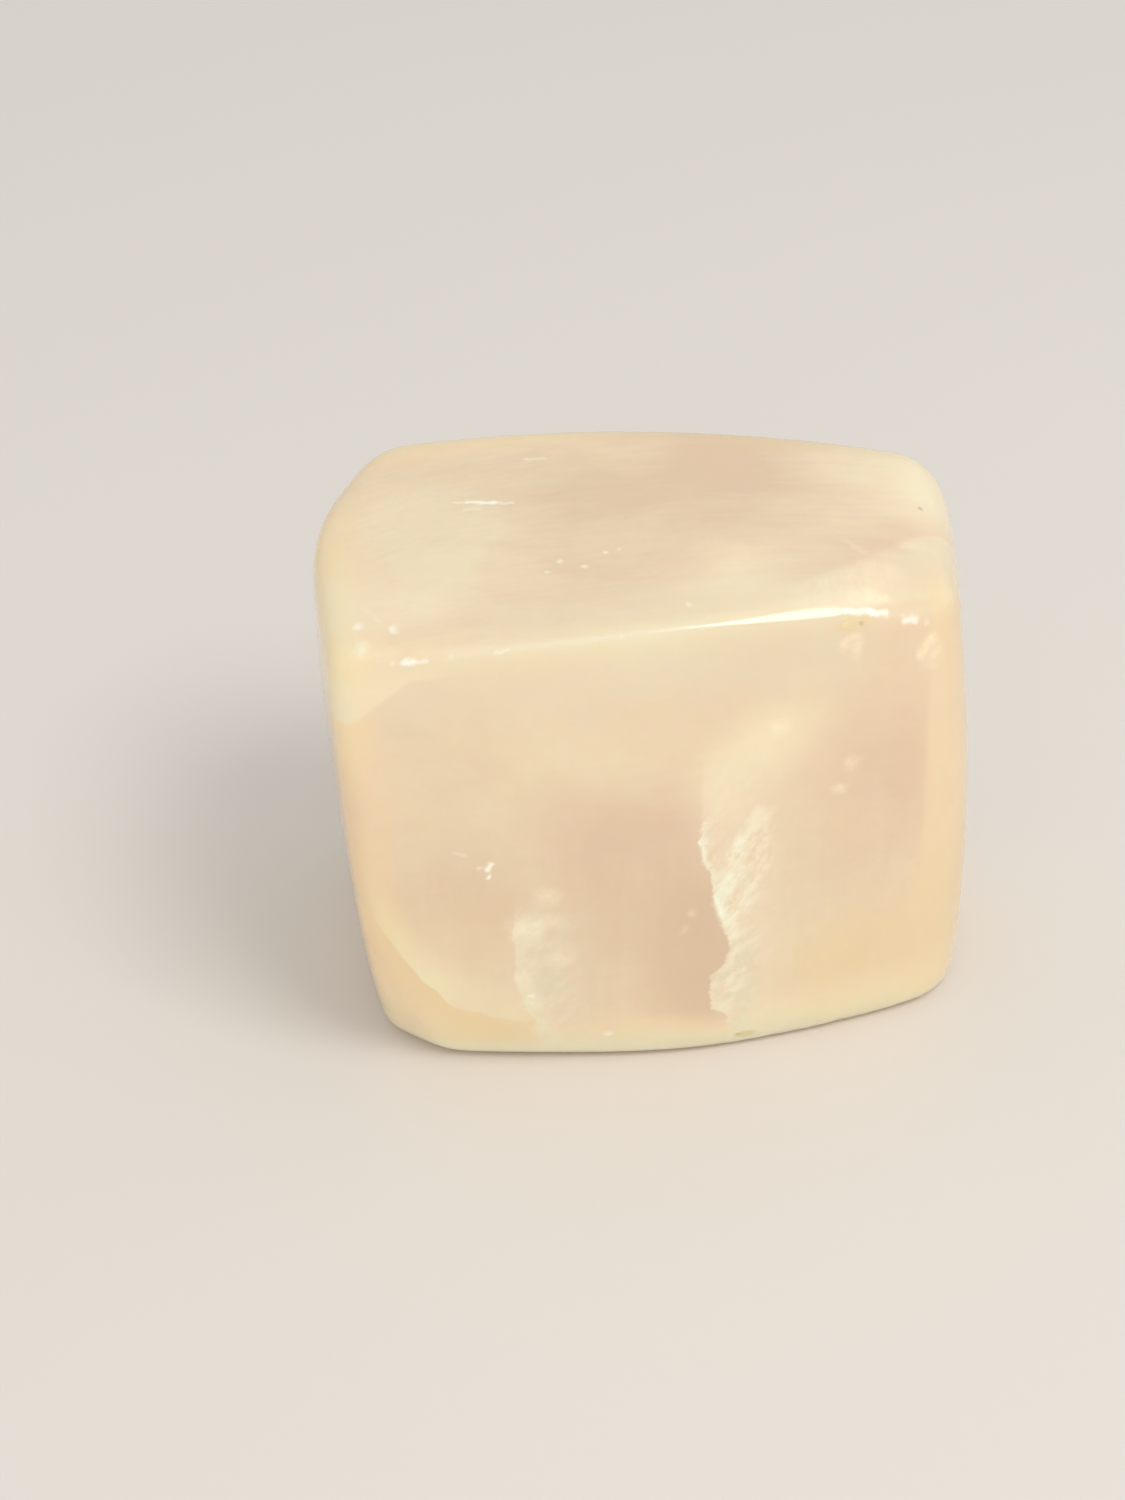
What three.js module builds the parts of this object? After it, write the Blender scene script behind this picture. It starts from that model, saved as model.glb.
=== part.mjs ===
// A freeform block of mangano calcite that stands on a ground flat base, in millimetres, +Z up.
// It is one piece of pale stone, sawn to a block and then ground and polished by hand. Each ground face is
// a very shallow dome, because the wheel leaves no true plane, and the edges between the faces are rounded
// over. The front ridge is eased to a narrow flat right of its middle.
// The wide front face looks towards -Y, and the stone is centred on its footprint.

import * as THREE from 'three';
import { mergeVertices } from 'three/addons/utils/BufferGeometryUtils.js';

// The ground faces, in the order in which they are cut. `at` is a point on the face, `turn` is the heading
// of its outward normal seen from above (0 is +X, 90 is +Y) and `rise` is how far the normal tilts up, both
// in degrees. `dome` is the radius of the shallow dome in mm, and `edge` is how widely the face is blended
// into those before it.
const TOP = { at: [-0.8, -2, 42.3], turn: -122, rise: 87, dome: 120, edge: 0 };
const RIDGE_FLAT = { at: [7.5, -13.1, 40.7], turn: -76.5, rise: 49, dome: 180, edge: 0.3 };
const FRONT = { at: [-0.8, -16.3, 20], turn: -87, rise: -1, dome: 86, edge: 0.25 };
const BACK = { at: [-0.8, 13, 22], turn: 81, rise: 2, dome: 600, edge: 2 };
const LEFT_END = { at: [-24.7, 0, 26], turn: 183, rise: -2, dome: 215, edge: 1.8 };
const RIGHT_END = { at: [24.6, 0, 15], turn: -6, rise: 2, dome: 230, edge: 3.8 };

// Corners taken off: the tall bevel at the back left, a smaller one at the back right, the two small facets
// at the ends of the front ridge, and the two bevels that lift the front of the foot.
const BACK_LEFT_BEVEL = { at: [-22.6, 10.4, 40], turn: 152, rise: 7, dome: 250, edge: 3 };
const BACK_RIGHT_BEVEL = { at: [22, 12.2, 36.7], turn: 45, rise: 20, dome: 250, edge: 2.8 };
const RIGHT_RIDGE_FACET = { at: [18.2, -11.6, 39.2], turn: -49, rise: 61, dome: 250, edge: 0.4 };
const LEFT_RIDGE_FACET = { at: [-20.3, -13.68, 35.7], turn: -106, rise: 18, dome: 250, edge: 0.8 };
const LEFT_FOOT_BEVEL = { at: [-21.73, -10.97, 5.3], turn: -128, rise: -21, dome: 120, edge: 0.9 };
const FRONT_FOOT_BEVEL = { at: [-11.7, -13.5, 2.4], turn: -96, rise: -21, dome: 200, edge: 0.5 };

const FACES = [
  TOP, RIDGE_FLAT, FRONT, BACK, LEFT_END, RIGHT_END,
  BACK_LEFT_BEVEL, BACK_RIGHT_BEVEL, RIGHT_RIDGE_FACET, LEFT_RIDGE_FACET, LEFT_FOOT_BEVEL, FRONT_FOOT_BEVEL,
];

// The base is ground truly flat, at z = 0, and its edge is rounded over.
const BASE_EDGE = 1.1;

// The block that the stone is ground from, and how finely its surface is divided along X, Y and Z.
const BLOCK = new THREE.Vector3(48, 29, 42);
const BLOCK_MIDDLE = new THREE.Vector3(0, 0, BLOCK.z / 2);
const DIVISIONS = [34, 22, 28];
// The share by which the stone is thinner at its right end and thicker at its left end than in the middle.
// The grid tapers alike, so that its edges run along the edges of the stone.
const TAPER = 0.1;
// 0 spaces the divisions evenly, 1 crowds them fully towards the block's edges, where the surface bends
// most.
const CROWDING = 0.85;

const DEEPEST_RADIUS = 60;
const HALVINGS = 44;

const CALCITE = new THREE.MeshStandardMaterial({
  name: 'polished_calcite',
  color: 0xecd6b4,
  roughness: 0.15,
  metalness: 0,
});

// Unit normal of a face that heads `turn` degrees round and `rise` degrees up.
function outwardNormal({ turn, rise }) {
  const heading = THREE.MathUtils.degToRad(turn);
  const tilt = THREE.MathUtils.degToRad(rise);
  const level = Math.cos(tilt);
  return new THREE.Vector3(level * Math.cos(heading), level * Math.sin(heading), Math.sin(tilt));
}

// The dome of a face is part of a large sphere whose middle lies inside or beyond the stone.
function domeSphere(face) {
  const middle = new THREE.Vector3(...face.at).addScaledVector(outwardNormal(face), -face.dome);
  return { middle, radius: face.dome, edge: face.edge };
}

const DOMES = FACES.map(domeSphere);

// The larger of two distances, with the corner between them rounded over a width of `edge`.
function blendedMax(a, b, edge) {
  const overlap = edge > 0 ? Math.max(edge - Math.abs(a - b), 0) / edge : 0;
  return Math.max(a, b) + (overlap * overlap * edge) / 4;
}

// Distance from a point to the stone's surface, negative inside the stone.
function distanceToStone(point) {
  const [first, ...others] = DOMES;
  let distance = point.distanceTo(first.middle) - first.radius;
  for (const { middle, radius, edge } of others) {
    distance = blendedMax(distance, point.distanceTo(middle) - radius, edge);
  }
  return blendedMax(distance, -point.z, BASE_EDGE);
}

// The point where a ray from the middle of the block leaves the stone.
function surfacePoint(direction) {
  const point = new THREE.Vector3();
  let inside = 0;
  let outside = DEEPEST_RADIUS;
  for (let i = 0; i < HALVINGS; i += 1) {
    const reach = (inside + outside) / 2;
    point.copy(BLOCK_MIDDLE).addScaledVector(direction, reach);
    if (distanceToStone(point) < 0) {
      inside = reach;
    } else {
      outside = reach;
    }
  }
  return point;
}

// Moves a grid line at -1 to 1 towards the nearer edge of the block.
function crowd(t) {
  return (1 - CROWDING) * t + CROWDING * Math.sin((Math.PI / 2) * t);
}

// The block's grid, pushed in and out until it lies on the ground faces.
function stoneGeometry() {
  const box = new THREE.BoxGeometry(2, 2, 2, ...DIVISIONS);
  box.deleteAttribute('normal');
  box.deleteAttribute('uv');
  const geometry = mergeVertices(box);
  const positions = geometry.getAttribute('position');
  const direction = new THREE.Vector3();
  for (let i = 0; i < positions.count; i += 1) {
    direction.fromBufferAttribute(positions, i);
    direction.set(crowd(direction.x), crowd(direction.y), crowd(direction.z));
    direction.y *= 1 - TAPER * direction.x;
    positions.setXYZ(i, ...surfacePoint(direction.multiply(BLOCK).normalize()));
  }
  return centredOnFootprint(geometry);
}

function centredOnFootprint(geometry) {
  geometry.computeBoundingBox();
  const middle = geometry.boundingBox.getCenter(new THREE.Vector3());
  geometry.translate(-middle.x, -middle.y, 0);
  geometry.computeVertexNormals();
  return geometry;
}

const stone = new THREE.Mesh(stoneGeometry(), CALCITE);
stone.name = 'calcite_stone';

const part = new THREE.Group();
part.add(stone);

export default part;
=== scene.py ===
# A polished freeform block of mangano calcite, standing on a pale floor in soft studio light.
import math

import bpy
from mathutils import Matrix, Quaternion, Vector


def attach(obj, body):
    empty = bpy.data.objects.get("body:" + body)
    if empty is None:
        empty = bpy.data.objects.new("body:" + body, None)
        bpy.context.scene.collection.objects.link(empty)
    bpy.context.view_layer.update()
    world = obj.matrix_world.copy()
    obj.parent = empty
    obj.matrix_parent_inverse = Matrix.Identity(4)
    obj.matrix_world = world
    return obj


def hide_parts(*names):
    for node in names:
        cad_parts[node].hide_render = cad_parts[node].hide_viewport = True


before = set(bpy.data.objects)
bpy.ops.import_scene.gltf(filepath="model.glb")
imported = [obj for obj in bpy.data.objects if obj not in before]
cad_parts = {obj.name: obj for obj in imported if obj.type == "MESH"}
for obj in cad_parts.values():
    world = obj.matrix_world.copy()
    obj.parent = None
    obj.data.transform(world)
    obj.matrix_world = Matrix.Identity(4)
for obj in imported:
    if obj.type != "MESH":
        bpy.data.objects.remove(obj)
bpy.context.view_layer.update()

# The stone.
# One natural piece of pale pink and cream calcite, sawn from a seam, ground on wheels to gently domed faces
# and polished. Light sinks a few millimetres into it, and cloudy veils and healed cracks show inside.
MM = 0.001
TOUCHING = 0.001 * MM
QUAD_ANGLE = math.radians(60)
SMOOTHING_LEVELS = 2

ground_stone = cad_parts["calcite_stone"]
bpy.ops.object.select_all(action="DESELECT")
ground_stone.select_set(True)
bpy.context.view_layer.objects.active = ground_stone
bpy.ops.object.duplicate()
stone = bpy.context.object
stone.name = "polished_stone"
stone.data.name = "polished_stone"

bpy.ops.object.mode_set(mode="EDIT")
bpy.ops.mesh.select_all(action="SELECT")
bpy.ops.mesh.remove_doubles(threshold=TOUCHING)
bpy.ops.mesh.tris_convert_to_quads(face_threshold=QUAD_ANGLE, shape_threshold=QUAD_ANGLE)
bpy.ops.object.mode_set(mode="OBJECT")
polish = stone.modifiers.new("polish", "SUBSURF")
polish.levels = SMOOTHING_LEVELS
polish.render_levels = SMOOTHING_LEVELS
bpy.ops.object.modifier_apply(modifier=polish.name)
bpy.ops.object.shade_smooth()


class Wire:
    """One output of a shader node. Arithmetic on wires adds the Math nodes that work it out."""

    def __init__(self, socket):
        self.socket = socket

    def node(self, kind, settings=None, inputs=None, output=0):
        """Adds a node of any kind beside this one and returns one of its outputs."""
        tree = self.socket.id_data
        node = tree.nodes.new(kind)
        for name, value in (settings or {}).items():
            if name == "stops":
                set_stops(node.color_ramp, value)
            else:
                setattr(node, name, value)
        for name, value in (inputs or {}).items():
            if isinstance(value, Wire):
                value.feed(node.inputs[name])
            else:
                node.inputs[name].default_value = value
        return Wire(node.outputs[output])

    def feed(self, socket):
        """Links this output to an input."""
        self.socket.id_data.links.new(self.socket, socket)

    def math(self, operation, *values):
        return self.node("ShaderNodeMath", {"operation": operation}, dict(enumerate(values)))

    def __add__(self, other):
        return self.math("ADD", self, other)

    def __radd__(self, other):
        return self.math("ADD", other, self)

    def __sub__(self, other):
        return self.math("SUBTRACT", self, other)

    def __rsub__(self, other):
        return self.math("SUBTRACT", other, self)

    def __mul__(self, other):
        return self.math("MULTIPLY", self, other)

    def __rmul__(self, other):
        return self.math("MULTIPLY", other, self)


def set_stops(ramp, stops):
    """Puts grey stops, given as (position, value), on a colour ramp that starts with two."""
    while len(ramp.elements) < len(stops):
        ramp.elements.new(1)
    for element, (position, value) in zip(ramp.elements, stops):
        element.position = position
        element.color = (value, value, value, 1)


def clamped(value):
    """The value held between 0 and 1."""
    return value.node("ShaderNodeClamp", None, {"Value": value})


def step_up(value, low, high):
    """Rises smoothly from 0 at `low` to 1 at `high`, or falls where high is the smaller."""
    limits = {"Value": value, "From Min": low, "From Max": high}
    return value.node("ShaderNodeMapRange", {"interpolation_type": "SMOOTHSTEP"}, limits)


def drawn_line(value, points):
    """The height over `value` of a line through given points, flat beyond its ends."""
    heights = [height for _, height in points]
    low, rise = min(heights), max(heights) - min(heights)
    first, run = points[0][0], points[-1][0] - points[0][0]
    stops = [((place - first) / run, (height - low) / rise) for place, height in points]
    limits = {"Value": value, "From Min": first, "From Max": first + run}
    share = value.node("ShaderNodeMapRange", None, limits)
    return share.node("ShaderNodeValToRGB", {"stops": stops}, {"Fac": share}) * rise + low


def vector(operation, first, second, output=0):
    return first.node("ShaderNodeVectorMath", {"operation": operation}, {0: first, 1: second}, output)


def split(point):
    """The x, y and z of a point."""
    return [point.node("ShaderNodeSeparateXYZ", None, {0: point}, axis) for axis in "XYZ"]


def joined(x, y, z=0):
    """The point that has these three, of which x is a wire."""
    return x.node("ShaderNodeCombineXYZ", None, {"X": x, "Y": y, "Z": z})


def noise(at, grain, detail=2, roughness=0.5):
    """Cloud noise from -0.5 to 0.5, whose lumps are `grain` mm wide. `grain` may differ by axis."""
    if isinstance(grain, tuple):
        at, grain = vector("DIVIDE", at, grain), 1
    inputs = {"Vector": at, "Scale": 1 / grain, "Detail": detail, "Roughness": roughness}
    return at.node("ShaderNodeTexNoise", None, inputs) - 0.5


def stirred(at, grain, reach):
    """The point moved by up to `reach` mm in swirls that are `grain` mm wide."""
    inputs = {"Vector": at, "Scale": 1 / grain, "Detail": 2}
    swirl = vector("SUBTRACT", at.node("ShaderNodeTexNoise", None, inputs, "Color"), (0.5, 0.5, 0.5))
    return vector("ADD", at, vector("MULTIPLY", swirl, (2 * reach, 2 * reach, 2 * reach)))


def patch(at, middle, reach, core=0.0):
    """A soft lump, 1 within `core` of its middle and 0 at its reach, which may differ by axis."""
    if not isinstance(reach, tuple):
        return step_up(vector("DISTANCE", at, middle, "Value"), reach, core * reach)
    shift = tuple(-place / size for place, size in zip(middle, reach))
    inputs = {0: at, 1: tuple(1 / size for size in reach), 2: shift}
    away = at.node("ShaderNodeVectorMath", {"operation": "MULTIPLY_ADD"}, inputs)
    return step_up(vector("LENGTH", away, (0, 0, 0), "Value"), 1, core)


def streak(at, start, end, width):
    """A thin straight mark, 1 along its middle line and 0 at `width` mm beside it."""
    run = Vector(end) - Vector(start)
    from_start = vector("SUBTRACT", at, start)
    share = clamped(vector("DOT_PRODUCT", from_start, tuple(run / run.length_squared), "Value"))
    nearest = share.node("ShaderNodeVectorMath", {"operation": "SCALE"}, {0: tuple(run), "Scale": share})
    return step_up(vector("DISTANCE", from_start, nearest, "Value"), width, 0)


def tint(colour, other, share):
    """Mixes a second colour into the first by `share`."""
    inputs = {"Factor": share, "A": colour, "B": other}
    return share.node("ShaderNodeMix", {"data_type": "RGBA"}, inputs, "Result")


# The finish of the whole stone. Red light sinks the deepest into it.
CALCITE_IOR = 1.6
SINKING_DEPTH = 5 * MM
SINKING_BY_COLOUR = (1, 0.75, 0.5)

calcite = bpy.data.materials.new("polished_calcite")
calcite.use_nodes = True
shader = calcite.node_tree.nodes["Principled BSDF"]
shader.inputs["Subsurface Weight"].default_value = 1
shader.inputs["Subsurface Radius"].default_value = SINKING_BY_COLOUR
shader.inputs["Subsurface Scale"].default_value = SINKING_DEPTH
shader.inputs["IOR"].default_value = CALCITE_IOR

PINK = (0.78, 0.61, 0.45, 1)
CREAM = (0.90, 0.79, 0.58, 1)
MILK = (1, 0.91, 0.715, 1)
SAGE = (0.80, 0.745, 0.57, 1)
SMOKE = (0.73, 0.56, 0.40, 1)
HONEY = (0.87, 0.70, 0.43, 1)
TAN = (0.96, 0.76, 0.48, 1)
IVORY = (1, 0.87, 0.66, 1)
SHADE = (0.72, 0.60, 0.445, 1)
PEACH = (0.94, 0.705, 0.445, 1)
GOLD = (1, 0.88, 0.60, 1)
PAINTED_GLOW = (1, 0.80, 0.555, 1)
WHITE = (1, 0.95, 0.78, 1)
PAINTED_GLINT = (1, 0.97, 0.85, 1)
FEATHER = (1, 0.885, 0.685, 1)
RUST = (0.80, 0.67, 0.38, 1)
GREY = (0.45, 0.38, 0.30, 1)

metres = Wire(calcite.node_tree.nodes.new("ShaderNodeTexCoord").outputs["Object"])
at = vector("MULTIPLY", metres, (1 / MM, 1 / MM, 1 / MM))
x, y, z = split(at)

# The front and the top are shallow domes, each given by the middle and the radius of its sphere in mm.
FRONT_DOME = ((-5.45, 69.8, 21.5), 86)
TOP_DOME = ((2.4, 3.6, -77.5), 120)


def depth_below(dome):
    """How far a point lies below a dome, in mm."""
    middle, radius = dome
    return radius - vector("DISTANCE", at, middle, "Value")


front_depth = depth_below(FRONT_DOME)
top_depth = depth_below(TOP_DOME)

# Where a point is: on the front's side of the ridge, just inside the front, the top or the ridge, or at the
# back.
on_front = step_up(top_depth - front_depth, -0.4, 0.6)
near_front = step_up(front_depth, 5, 1)
near_top = step_up(top_depth, 5, 1.5) * (1 - on_front)
near_ridge = step_up(front_depth + top_depth, 7, 2)
at_back = step_up(front_depth, 7, 13) * step_up(top_depth, 2, 6)

# The body: cream cloud in pink, in thin flat layers from end to end. Faint upright growth lines cross the
# lower front, and cloud and layers are stronger at the back.
bent = stirred(at, 14, 4)
cloud = noise(bent, 14, detail=4, roughness=0.55)
layers = noise(bent, (30, 1.6, 0.9), detail=3, roughness=0.6)
fine_layers = noise(at, (11, 0.45, 0.3), detail=2)
mottle = noise(at, 1.8, detail=4, roughness=0.7)
growth = noise(at, (1.1, 4, 9), detail=2) * on_front * step_up(z, 28, 20) * 0.3
creaminess = 0.5 + cloud * 0.9 + (layers * 0.6 + fine_layers * 0.4) * (1 - on_front * 0.75) + mottle * 0.25
creaminess = creaminess + growth + at_back * (cloud * 1.3 + layers * 0.6)

# Broad pale and dusky zones, the front's and then the top's: a middle, a reach and how much creamier it is.
CREAM_ZONES = [
    ((-3, -14, 25.5), (12, 12, 9), -0.6),
    ((6.8, -14.6, 32.5), (7, 8, 4.5), 0.5),
    ((3.2, -15, 28), (3.5, 8, 6), 0.45),
    ((-6, -14, 33), (14, 6, 4), 0.15),
    ((15.5, -12, 28), (10, 8, 12), -0.5),
    ((0, 2.5, 42), (17, 5.5, 8), -0.45),
    ((6.5, 6.5, 42), (9, 6, 8), -0.6),
    ((-5, -5, 42), (9, 4, 6), -0.2),
    ((5, -2.5, 42), (8, 4, 6), -0.4),
    ((4.5, -9, 42), (8, 4, 6), 0.5),
    ((-11.5, 0, 42), (6, 3.5, 6), 0.3),
    ((12.5, 5, 42), (4, 3, 6), 0.4),
    ((-14, -6, 41), (8, 6, 6), 0.35),
    ((-19, 1, 41), (11, 10, 6), 0.5),
    ((19, 4, 41), (8, 7, 6), 0.6),
]
for middle, reach, more in CREAM_ZONES:
    creaminess = creaminess + patch(bent, middle, reach) * more
body = tint(PINK, CREAM, clamped(creaminess))

# Warmer, duller and greener zones in the front and the top, and the dull green of the ridge between them.
body = tint(body, SMOKE, near_front * patch(bent, (-5.5, -15.5, 18), (6, 9, 9)) * 0.45)
body = tint(body, SMOKE, near_front * patch(bent, (0.8, -15.5, 15), (5.5, 9, 11), 0.25) * 0.6)
body = tint(body, HONEY, near_front * patch(bent, (15, -12, 9.5), (10, 8, 9)) * 0.75)
body = tint(body, IVORY, patch(bent, (-19, 3.5, 41), (8, 7, 6)) * 0.2)
body = tint(body, IVORY, patch(at, (21.5, 1, 41), (5, 10, 6)) * 0.7)
body = tint(body, HONEY, patch(at, (1, 8, 42), (18, 9, 8)) * 0.15)
body = tint(body, HONEY, patch(bent, (-14.5, 6, 41), (5, 4, 5)) * 0.2)
body = tint(body, SMOKE, patch(at, (5, 12, 42), (14, 4.5, 9), 0.3) * 0.4)
greener = (1 - on_front) * step_up(x, -18, -11) * 0.5 + on_front * (0.5 + step_up(x, -10, 0) * 0.2)
body = tint(body, SAGE, near_ridge * step_up(x, 16, 11) * greener)
# Painted shade: the front just below the ridge's bright line, right of the middle, is darkened.
body = tint(body, SHADE, on_front * step_up(top_depth, 9, 0) * step_up(x, -3, 8) * 0.4)
body = tint(body, SAGE, patch(bent, (9.5, -13.8, 37.5), (4, 5, 3.5)) * 0.12)
body = tint(body, TAN, near_front * patch(bent, (-16, -14, 15), (8, 8, 7)) * 0.2)
body = tint(body, SMOKE, near_front * patch(bent, (-14.5, -14.5, 18.5), (9, 8, 8)) * 0.35)
body = tint(body, SAGE, near_front * patch(bent, (5.5, -15, 30.5), (4, 6, 4)) * 0.25)
body = tint(body, SMOKE, near_front * patch(bent, (9, -14, 18), (5, 8, 10)) * 0.2)

# The rim is painted with the glow of light through the stone where it is thin: warm tints, duskier in
# places, at the two ends and the back edge of the top. At the back, cloud shows there instead.
rim_glow_share = 1 - at_back * 0.75
# Painted light: the foot is painted much lighter, and lighter still left of the middle, making up for the
# shade where it stands on the floor.
body = tint(body, PAINTED_GLOW, step_up(z, 8.5, 2) * 0.95)
body = tint(body, IVORY, step_up(z, 4, 1.5) * step_up(x, 4, -4) * 0.4)
body = tint(body, PEACH, step_up(x, -19, -24) * (0.4 + step_up(z, 33, 20) * 0.45) * rim_glow_share)
upper_left = step_up(x, -20.5, -23.6) * step_up(z, 27, 34) * rim_glow_share
body = tint(body, TAN, upper_left * (0.4 + step_up(y, 4, -6) * 0.3))
body = tint(body, SMOKE, step_up(x, -20.5, -23.5) * step_up(z, 33, 27) * rim_glow_share * 0.25)
body = tint(body, PEACH, step_up(x, 22, 24.4) * (0.3 + step_up(z, 28, 14) * 0.5) * rim_glow_share)
body = tint(body, HONEY, patch(at, (22.5, -9, 12), (7.5, 9, 16), 0.2) * 0.8)
body = tint(body, HONEY, patch(at, (8.5, 9, 42), (8, 3.5, 6), 0.2) * 0.45)
body = tint(body, HONEY, patch(at, (-23, -12.5, 14), (6, 7, 9)) * 0.6)
body = tint(body, SMOKE, patch(at, (-23.5, -12.5, 14), (5, 7, 8)) * 0.5)
body = tint(body, SMOKE, patch(at, (23.5, -9, 15), (6, 8, 13)) * 0.25)
body = tint(body, SMOKE, patch(at, (8.5, 8.5, 42), (9, 3, 6), 0.2) * 0.35)
back_edge = step_up(y, 8.5, 11.5) * rim_glow_share
body = tint(body, TAN, back_edge * (0.55 - patch(at, (6, 12, 42), (14, 8, 9), 0.3) * 0.45))
body = tint(body, IVORY, patch(at, (-22.5, -6.5, 39.5), (6, 8, 4)) * 0.5)
body = tint(body, MILK, patch(at, (-18, -8, 40.5), (6, 4, 4)) * 0.35)

# The healed crack right of the middle: a crisp ragged edge with a bright fringe, a frosted wedge that hangs
# to a point beside it, and a dim green column from there down to the foot.
RIGHT_CRACK = [
    (2.5, 4.7), (4.1, 4.45), (4.9, 4), (5.6, 3.15), (6.7, 2.85), (8.5, 2.85), (9.6, 2.9), (10.3, 3.4),
    (11, 3.9), (12.9, 4.2), (14.3, 3.8), (17.3, 3), (18.9, 2.75), (20.4, 2.6), (21.7, 2.1), (23.6, 1.7),
    (25, 1.85), (31, 1.7),
]
CORE_LEFT = [(13, 4.6), (15, 3.7), (17.3, 3), (19.2, 3.3), (21.2, 3.65), (23.9, 4.7), (26.5, 5.7)]
CORE_RIGHT = [(13, 4.7), (14.2, 4.9), (15.5, 5.4), (16.7, 6.1), (18.1, 6.7), (20.1, 7.2), (26, 7.5)]
ragged = noise(at, 1, detail=4, roughness=0.7) * 1.23
slanted = joined(x - z * 0.45, y, z)
frost = noise(slanted, (0.95, 3, 1.5), detail=4, roughness=0.66)
beside = x - drawn_line(z, RIGHT_CRACK) + ragged
dusk = step_up(beside, -7, -0.3) * step_up(beside, 0.2, 0) * near_front
dusk = dusk * step_up(z, 2, 6) * step_up(z, 25, 16)
body = tint(body, SMOKE, dusk * 0.75)
right_through = near_front + step_up(front_depth, 20, 25) * 0.8
veil = step_up(beside, 0, 0.4) * step_up(beside, 8, 2) * step_up(z, 33, 27) * right_through
body = tint(body, MILK, veil * (0.25 + frost * 0.6))
fringe = step_up(beside, 0, 0.2) * step_up(beside, 1.4, 0.3) * near_front
fringe = fringe * step_up(z, 11, 14) * step_up(z, 27, 23)
body = tint(body, WHITE, fringe * (0.45 + frost * 3.2))
# Knots in the fringe get painted glints.
painted_glints = fringe * step_up(frost, 0.05, 0.3) * 0.5
from_left = x - drawn_line(z, CORE_LEFT) + ragged * 0.6
from_right = drawn_line(z, CORE_RIGHT) - x + ragged * 0.8
core = step_up(from_left, -0.4, 0.5) * step_up(from_right, -0.6, 0.9) * step_up(z, 27, 22.5) * near_front
frosted = 0.2 + step_up(from_left, 2.8, 0) * 0.6 + frost * 3.2
body = tint(body, MILK, core * clamped(frosted))
body = tint(body, WHITE, core * step_up(from_left, 1.6, 0.2) * (0.25 + frost * 2))
# The wedge's left edge gets painted glints too.
painted_glints = painted_glints + core * step_up(from_left, 2.2, 0.2) * step_up(frost, 0, 0.3) * 0.35
column = step_up(beside, 0, 0.3) * step_up(x, 7.2, 5.4) * near_front
column = column * step_up(z, 15.5, 13) * step_up(z, 1, 5)
body = tint(body, SAGE, column * (0.4 + mottle * 1.6))
body = tint(body, MILK, column * (0.15 + frost * 2.6))

# The smaller healed crack near the left foot, patchy and faintly green.
LEFT_CRACK = [
    (3, -10.05), (4.3, -10.45), (5.8, -10.45), (7.5, -11.3), (8.4, -11.3), (9.9, -11.85), (11.1, -12.05),
    (13, -11.9), (16.2, -12), (17.3, -11.85),
]
left_beside = x - drawn_line(z, LEFT_CRACK) + ragged * 0.6
left_veil = step_up(left_beside, 0, 0.25) * step_up(left_beside, 7, 2) * near_front
left_veil = left_veil * step_up(z + ragged * 2, 19.5, 16.5)
body = tint(body, SAGE, left_veil * step_up(z, 2, 9) * (0.5 + mottle))
body = tint(body, MILK, left_veil * (0.08 + step_up(left_beside, 2.5, 0.3) * 0.25 + frost * 1.2))

# The corner above the left end of the ridge and the foot's bevel are each set off along a drawn edge. The
# corner faces up into the light and is painted lighter, as painted light.
CORNER_EDGE = [
    (-24.5, 33.4), (-22.6, 34), (-20.2, 35.9), (-18.4, 37.5), (-16, 37.9), (-12.1, 39), (-8, 40.5),
]
FOOT_EDGE = [
    (-22.5, 18), (-21.7, 16.1), (-20.2, 13.2), (-18.65, 10.3), (-17.6, 9.2), (-16.9, 7.7), (-15.7, 7),
    (-14.6, 6.8), (-13.5, 6.1), (-8, 5),
]
above_corner = z - drawn_line(x, CORNER_EDGE) + ragged * 0.2
corner = step_up(above_corner, 0, 0.4) * step_up(x, -13, -18) * step_up(top_depth, 0.3, 2.5) * near_front
body = tint(body, CREAM, corner * 0.5)
body = tint(body, MILK, corner * 0.2)
above_foot = z - drawn_line(x, FOOT_EDGE) + ragged * 0.3
at_foot = step_up(x, -8, -13) * near_front
golden = step_up(above_foot, 6, 0.2) * 0.5 + patch(at, (-17.5, -13.5, 10.5), (3.5, 5, 4)) * 0.3
body = tint(body, GOLD, golden * step_up(above_foot, -0.2, 0.3) * step_up(x, -23.5, -20) * at_foot)
outside_foot = step_up(above_foot, 0.2, -0.3) * at_foot
# Painted light: the bevel below the edge faces the floor and is painted lighter tan.
body = tint(body, TAN, outside_foot * step_up(z, 1, 4) * step_up(z, 14, 7) * 0.8)
body = tint(body, PEACH, outside_foot * step_up(z, 5, 10) * 0.4)
# Painted shade: a darker band along the edge, just below it.
body = tint(body, HONEY, outside_foot * step_up(above_foot, -4, -0.2) * 0.45)

# The top right corner: a facet that faces the light, painted lighter towards its left end as painted light,
# below a dusky wedge, and a yellow strip along the right end.
WEDGE_EDGE = [
    (4, -10.8), (9.5, -9.6), (12.5, -8.2), (15.9, -6.2), (18.3, -4.5), (21, -2.9), (24.5, -1.6),
]
above_wedge = y - drawn_line(x, WEDGE_EDGE) + ragged * 0.3
at_corner = step_up(x, 6, 13) * near_top
body = tint(body, PINK, step_up(above_wedge, 4.5, 0.3) * step_up(above_wedge, 0, 0.6) * at_corner * 0.45)
facet = step_up(above_wedge, 0.3, -0.5) * at_corner
body = tint(body, MILK, facet * step_up(x, 18, 14) * (0.25 + frost * 0.8))
body = tint(body, SAGE, facet * step_up(x, 14, 18) * 0.45)
body = tint(body, HONEY, step_up(x, 18.3, 19.3) * near_front * step_up(z, 12, 26) * 0.4)
strip = step_up(x, 18.5, 19.1) * step_up(x, 20.8, 19.8) * near_front
body = tint(body, CREAM, strip * step_up(z, 14, 24) * step_up(z, 36, 32) * 0.2)
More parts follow.
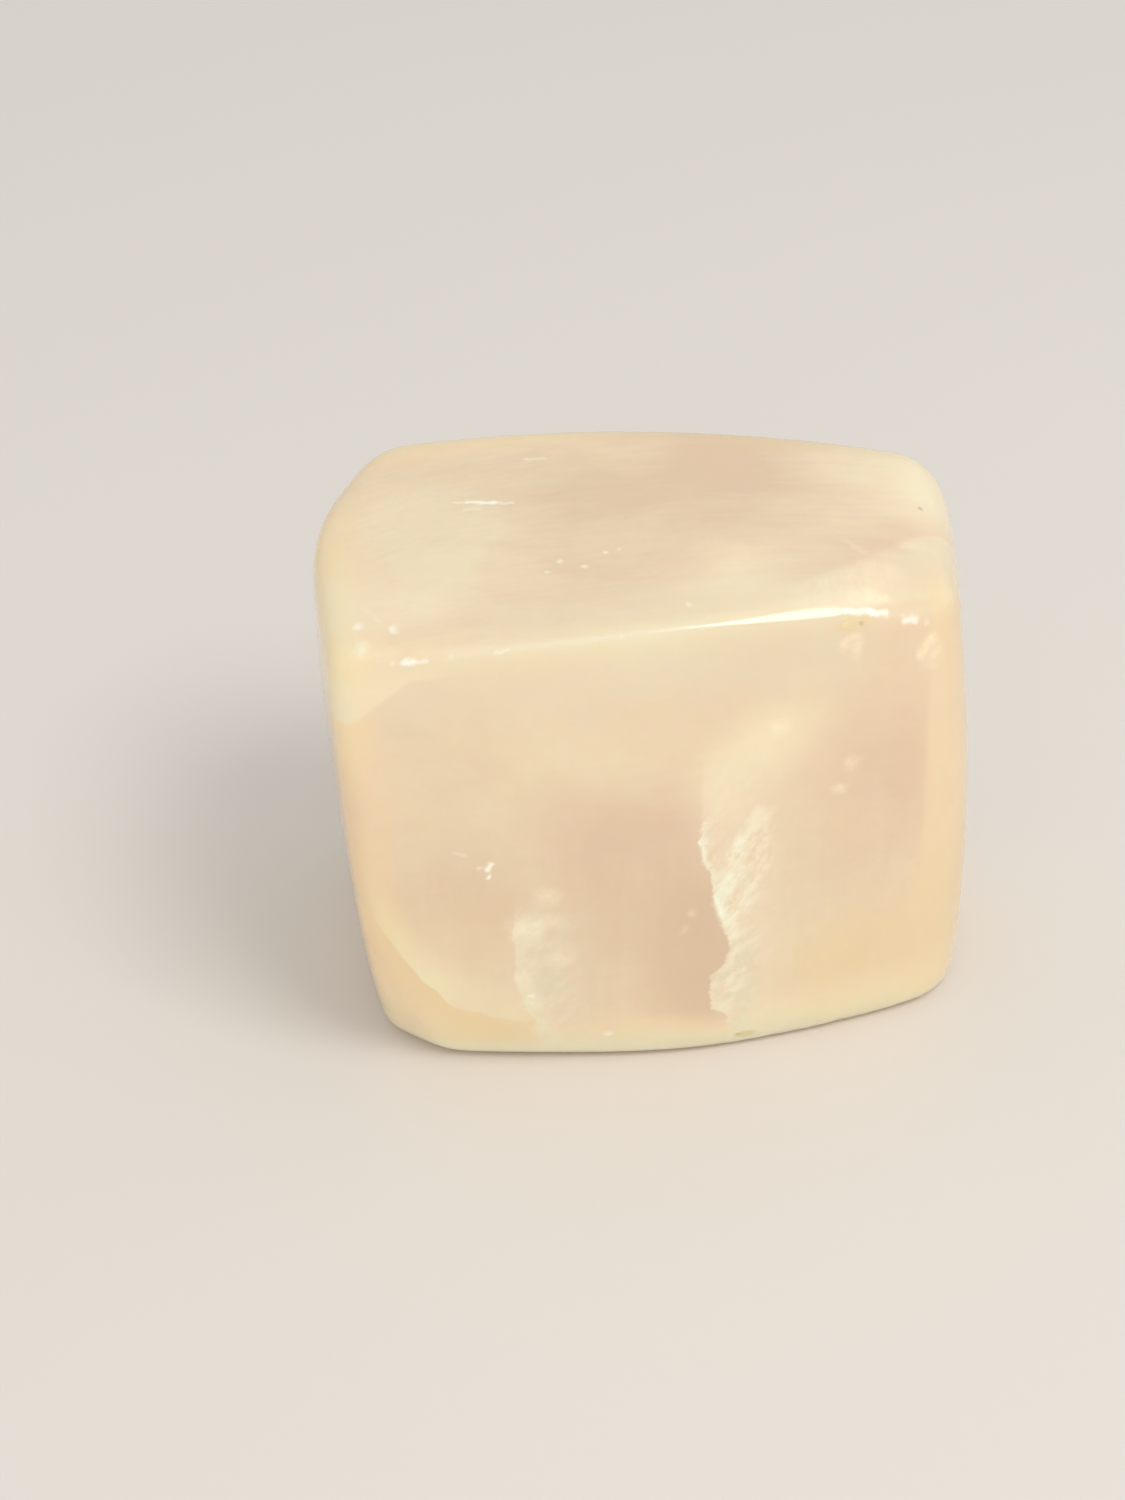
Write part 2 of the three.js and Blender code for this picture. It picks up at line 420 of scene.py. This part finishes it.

# Small marks inside, placed in the flat view of each face: x and z in front, x and y on top, and x and the
# height up the slope along the ridge. Streaks and spots are painted glints: small cracks that catch the
# light, and along the ridge, pieces of its bright line. Wisps are feathery. A streak is given by its two
# ends, a spot or a wisp by its middle, and each has a reach and a strength.
SLOPE = math.sqrt(0.5)
ruffled = stirred(at, 1.1, 0.4)
along, inwards, up = split(ruffled)
seen_in_front = joined(along, up)
seen_on_top = joined(along, inwards)
seen_on_ridge = joined(along, (inwards + up) * SLOPE)
FRONT_STREAKS = [
    ((-13.35, 22.7), (-13.6, 22.05), 0.33, 1),
    ((-16, 23.7), (-15.2, 23.5), 0.25, 0.25),
    ((1.95, 23.4), (2.5, 21.2), 0.35, 0.45),
    ((3.05, 18.2), (3.65, 16.3), 0.3, 0.55),
    ((2.1, 25.2), (1.95, 24.6), 0.25, 0.3),
]
TOP_STREAKS = [
    ((-14.2, 3.6), (-10, 2.25), 0.25, 0.5),
    ((-13.2, 3.28), (-11.2, 2.64), 0.35, 0.7),
    ((-8.6, 8.2), (-7.4, 7.9), 0.3, 0.35),
    ((-13.6, 2.45), (-12.5, 2.15), 0.25, 0.3),
    ((13.4, -4.8), (14.6, -6.2), 0.5, 0.12),
]
# Most ridge streaks are painted highlight: pieces of the ridge's bright line near its two ends.
RIDGE_STREAKS = [
    ((-18.7, 18.53), (-18, 18.53), 0.4, 1),
    ((-17.6, 18.5), (-17.1, 18.55), 0.28, 0.6),
    ((-21.3, 23.4), (-20.3, 22), 0.3, 0.3),
    ((-12.3, 18.6), (-11.5, 18.7), 0.25, 0.35),
    ((12.4, 20.35), (14.2, 20.2), 0.45, 0.8),
    ((14.2, 20.1), (15.3, 19.95), 0.4, 0.9),
    ((16.8, 19.7), (17.5, 19.6), 0.45, 0.9),
]
FRONT_SPOTS = [
    ((-13.47, 21.5), 0.33, 1),
    ((-14.05, 22.3), 0.35, 0.4),
    ((-4.7, 3.6), 0.6, 0.7),
    ((-10.65, 8.9), 0.35, 0.7),
]
TOP_SPOTS = [
    ((-3.95, -4.96), 0.3, 0.7),
    ((-7.2, -5.4), 0.35, 0.7),
    ((-5.5, -6.3), 0.35, 0.6),
    ((-8.2, -6.5), 0.4, 0.5),
    ((-2.8, -4.8), 0.25, 0.4),
]
RIDGE_SPOTS = [
    ((-21.8, 21.7), 0.6, 1),
    ((-19.2, 21.2), 0.55, 0.9),
    ((-19.4, 18.6), 0.4, 0.3),
    ((-15.4, 18.65), 0.35, 0.25),
    ((18.4, 19.5), 0.35, 0.25),
    ((1.4, 21.2), 0.35, 0.5),
    ((-3.6, 19.1), 0.3, 0.3),
]
FRONT_WISPS = [
    ((6.3, 25.3), (1.5, 1.4), 0.7),
    ((7.6, 32.6), (1.2, 1.1), 0.7),
    ((13.1, 28.4), (1.1, 1), 0.5),
    ((12.2, 26.4), (1.2, 0.7), 0.6),
    ((1.35, 16.7), (0.7, 0.7), 0.5),
    ((0.8, 15.1), (0.6, 0.6), 0.5),
    ((4.9, 7.6), (1.2, 0.6), 0.8),
    ((4, 5.6), (0.8, 1.3), 0.7),
    ((12.9, 38.65), (1, 0.5), 0.9),
    ((12.2, 38.2), (0.7, 0.7), 0.7),
    ((13.2, 37.7), (0.8, 1.2), 0.55),
    ((18.7, 36.8), (1, 0.8), 0.9),
    ((18.2, 36.3), (0.7, 0.8), 0.8),
    ((19, 35.6), (1.3, 1.4), 0.5),
    ((-10.9, 16.1), (2.1, 2.1), 1),
    ((-9.3, 17), (1.4, 1), 0.6),
    ((-9.3, 19.5), (1.7, 1.5), 0.6),
    ((-8.6, 13), (1.8, 1.4), 0.6),
    ((-11.3, 10.9), (0.9, 1.8), 0.9),
    ((-10.5, 8.2), (1.4, 1.7), 0.9),
    ((-10, 4.7), (1.2, 1.5), 0.9),
]
TOP_WISPS = [
    ((15.8, -8), (2, 1.6), 0.3),
    ((18.2, -5), (1.5, 0.9), 0.6),
]
# The first two ridge wisps are cream cloud and a painted glow over the right end of the ridge's bright
# line.
RIDGE_WISPS = [
    ((14, 21.3), (1.8, 1), 0.9),
    ((15.2, 21.1), (1, 0.6), 0.7),
    ((-21.6, 19.8), (1.1, 1.1), 1),
]
FACE_MARKS = [
    (seen_in_front, near_front, FRONT_STREAKS, FRONT_SPOTS, FRONT_WISPS),
    (seen_on_top, near_top, TOP_STREAKS, TOP_SPOTS, TOP_WISPS),
    (seen_on_ridge, near_ridge, RIDGE_STREAKS, RIDGE_SPOTS, RIDGE_WISPS),
]
feathery = 0.3 + step_up(ragged, -0.25, 0.25) * 0.7
for face_view, near_face, streaks, spots, wisps in FACE_MARKS:
    painted_shine = feathers = 0
    for start, end, width, strength in streaks:
        painted_shine = painted_shine + streak(face_view, (*start, 0), (*end, 0), width) * strength
    for middle, reach, strength in spots:
        painted_shine = painted_shine + patch(face_view, (*middle, 0), reach) * strength
    for middle, reach, strength in wisps:
        feathers = feathers + patch(face_view, (*middle, 0), (*reach, 1)) * strength
    painted_glints = painted_glints + painted_shine * near_face
    body = tint(body, FEATHER, feathers * feathery * near_face)

# A rusty stain round a small chip in the ridge, a dark grain in the top and a rusty nick in the foot.
chip = patch(at, (12.9, -12.1, 39.6), (2, 1.6, 0.9), 0.1)
body = tint(body, RUST, chip * 0.6)
body = tint(body, GREY, patch(at, (13.5, -12.1, 39.55), 0.3, 0.2) * 0.5)
body = tint(body, GREY, patch(at, (19.7, -0.15, 40.8), (0.3, 0.3, 1), 0.3) * 0.5)
body = tint(body, RUST, patch(at, (6, -13, 1.6), (1.3, 1.5, 0.6), 0.3) * 0.9)
body = tint(body, GREY, patch(at, (5.4, -13.1, 1.7), (0.35, 1.5, 0.2), 0.2) * 0.5)

body.feed(shader.inputs["Base Color"])

# The polish is a little duller in the cloud and dull in the chip. The wheel left the faces faintly wavy.
POLISH = 0.13
(POLISH + cloud * 0.08 + chip * 0.2).feed(shader.inputs["Roughness"])
waves = noise(at, (9, 9, 7), detail=1) * 0.05
bump = {"Height": waves - chip * 0.12, "Distance": MM, "Strength": 1}
at.node("ShaderNodeBump", None, bump).feed(shader.inputs["Normal"])

# Painted glints: small cracks, which throw the light back before it sinks in, get a plain white finish
# mixed in.
painted_glint_inputs = {"Base Color": PAINTED_GLINT, "Roughness": 0.3, "IOR": CALCITE_IOR}
painted_glint_finish = painted_glints.node("ShaderNodeBsdfPrincipled", None, painted_glint_inputs)
finishes = {0: clamped(painted_glints), 1: Wire(shader.outputs["BSDF"]), 2: painted_glint_finish}
surface = painted_glints.node("ShaderNodeMixShader", None, finishes)
surface.feed(calcite.node_tree.nodes["Material Output"].inputs["Surface"])

stone.data.materials.clear()
stone.data.materials.append(calcite)

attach(stone, "root")
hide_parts("calcite_stone")

# The floor.
# A sheet of pale matt paper on a table, which only carries the stone and its shadow.
FLOOR_SIZE = 4
PAPER = (0.80, 0.775, 0.745, 1)

bpy.ops.object.select_all(action="DESELECT")
bpy.ops.mesh.primitive_plane_add(size=FLOOR_SIZE)
floor = bpy.context.object
floor.name = "floor"
paper = bpy.data.materials.new("pale_paper")
paper.use_nodes = True
paper_shader = paper.node_tree.nodes["Principled BSDF"]
paper_shader.inputs["Base Color"].default_value = PAPER
paper_shader.inputs["Roughness"].default_value = 0.9
floor.data.materials.append(paper)

# The light.
# A small softbox above the front right draws the bright line along the ridge, a large one hangs overhead
# and a low one in front lights the wide front face down to its foot.
LIT_POINT = Vector((0, 0, 0.02))


def softbox(name, place, width, height, watts, colour, shines=True):
    """A soft light that faces the stone. One that doesn't shine only fills in, and draws no reflection."""
    bpy.ops.object.light_add(type="AREA", location=place)
    lamp = bpy.context.object
    lamp.name = name
    lamp.data.shape = "RECTANGLE"
    lamp.data.size = width
    lamp.data.size_y = height
    lamp.data.energy = watts
    lamp.data.color = colour
    lamp.visible_glossy = shines
    lamp.rotation_mode = "QUATERNION"
    lamp.rotation_quaternion = (LIT_POINT - Vector(place)).to_track_quat("-Z", "Y")


softbox(
    "ridge_softbox", place=(0.188, -0.23, 0.47), width=0.195, height=0.21,
    watts=0.95, colour=(1, 0.97, 0.91),
)
softbox(
    "overhead_softbox", place=(-0.1, -0.1, 1.2), width=1.6, height=1.6,
    watts=0.85, colour=(1, 0.95, 0.87),
)
softbox(
    "front_softbox", place=(0, -1.3, 0.13), width=1.8, height=0.24,
    watts=2.79, colour=(1, 0.96, 0.89), shines=False,
)

# Pale walls all round send back the rest of the light.
WALLS = (0.93, 0.91, 0.88, 1)
WALL_BRIGHTNESS = 0.71

room = bpy.data.worlds.new("pale_room")
room.use_nodes = True
room.node_tree.nodes["Background"].inputs["Color"].default_value = WALLS
room.node_tree.nodes["Background"].inputs["Strength"].default_value = WALL_BRIGHTNESS
bpy.context.scene.world = room
bpy.context.scene.view_settings.view_transform = "Standard"

# The camera.
# A phone held above the front of the stone, looking down on it at 38 degrees.
CAMERA_PLACE = Vector((-0.0185, -0.1769, 0.1586))
AIM = Vector((-0.0069, 0.0002, 0.0203))
ROLL = math.radians(-1.2)
SENSOR = 36
LENS = 69.95

bpy.ops.object.camera_add(location=CAMERA_PLACE)
camera = bpy.context.object
camera.name = "camera"
camera.data.sensor_width = SENSOR
camera.data.lens = LENS
camera.data.clip_start = 0.01
camera.rotation_mode = "QUATERNION"
camera.rotation_quaternion = (AIM - CAMERA_PLACE).to_track_quat("-Z", "Y") @ Quaternion((0, 0, 1), ROLL)
bpy.context.scene.camera = camera
